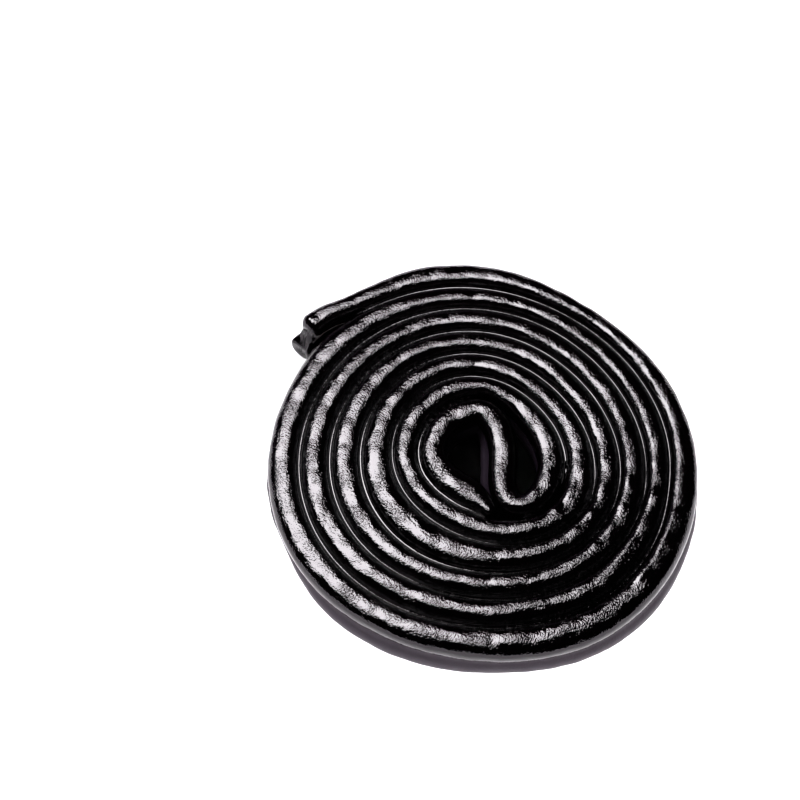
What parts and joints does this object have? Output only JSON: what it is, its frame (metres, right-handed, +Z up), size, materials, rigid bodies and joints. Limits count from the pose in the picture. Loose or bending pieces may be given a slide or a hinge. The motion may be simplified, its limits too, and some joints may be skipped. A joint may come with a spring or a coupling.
{
  "type": "licorice roll",
  "caption": "Flat wheel of glossy black licorice lace, wound in a tight spiral with its inner end folded back into an open loop.",
  "frame": {"origin": "middle of the wheel's outline, on the surface it lies on", "axes": "+Z up through the flat wheel, +Y to the back, the outer end at the back left"},
  "size_m": [0.0498, 0.05, 0.0066],
  "materials": {
    "licorice": "soft near-black licorice with a glossy, finely wrinkled skin"
  },
  "bodies": {
    "root": {"licorice_roll": "licorice"}
  },
  "joints": []
}
